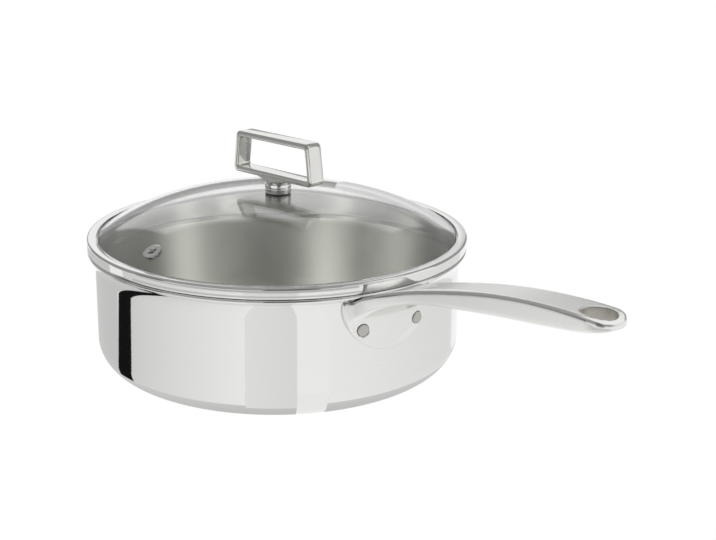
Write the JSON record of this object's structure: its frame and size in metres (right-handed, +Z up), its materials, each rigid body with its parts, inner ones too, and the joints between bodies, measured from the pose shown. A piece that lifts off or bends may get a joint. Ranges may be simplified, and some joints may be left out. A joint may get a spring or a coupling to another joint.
{
  "type": "saute pan with lid",
  "caption": "Straight-sided polished steel saute pan with a pouring lip, a long riveted handle and a domed glass lid with a loop knob.",
  "frame": {"origin": "on the pan's axis, at the underside of its base, where it stands on the floor", "axes": "+Z up along the pan's axis, +X along the long handle towards its tip, +Y to the left of the handle"},
  "size_m": [0.432, 0.2548, 0.1534],
  "materials": {
    "polished_steel": "mirror polished",
    "aluminium_core": "plain",
    "satin_steel": "satin",
    "handle_steel": "satin cast",
    "rivet_steel": "satin",
    "lid_glass": "clear tempered",
    "knob_steel": "polished",
    "silicone": "matt"
  },
  "bodies": {
    "pan": {"pan_outer_ply": "polished_steel", "pan_core_ply": "aluminium_core", "pan_inner_ply": "satin_steel", "handle": "handle_steel", "rivet_left": "rivet_steel", "rivet_right": "rivet_steel"},
    "lid": {"lid_glass": "lid_glass", "lid_band": "polished_steel", "vent_eyelet": "polished_steel", "knob_loop": "knob_steel", "knob_post": "polished_steel", "knob_gasket_top": "silicone", "knob_gasket_low": "silicone", "knob_washer": "polished_steel", "knob_screw": "rivet_steel"}
  },
  "joints": [
    {"name": "lid_lift", "type": "slide", "parent": "pan", "child": "lid", "axis": [0, 0, 1], "range_m": [0, 0.12]}
  ]
}
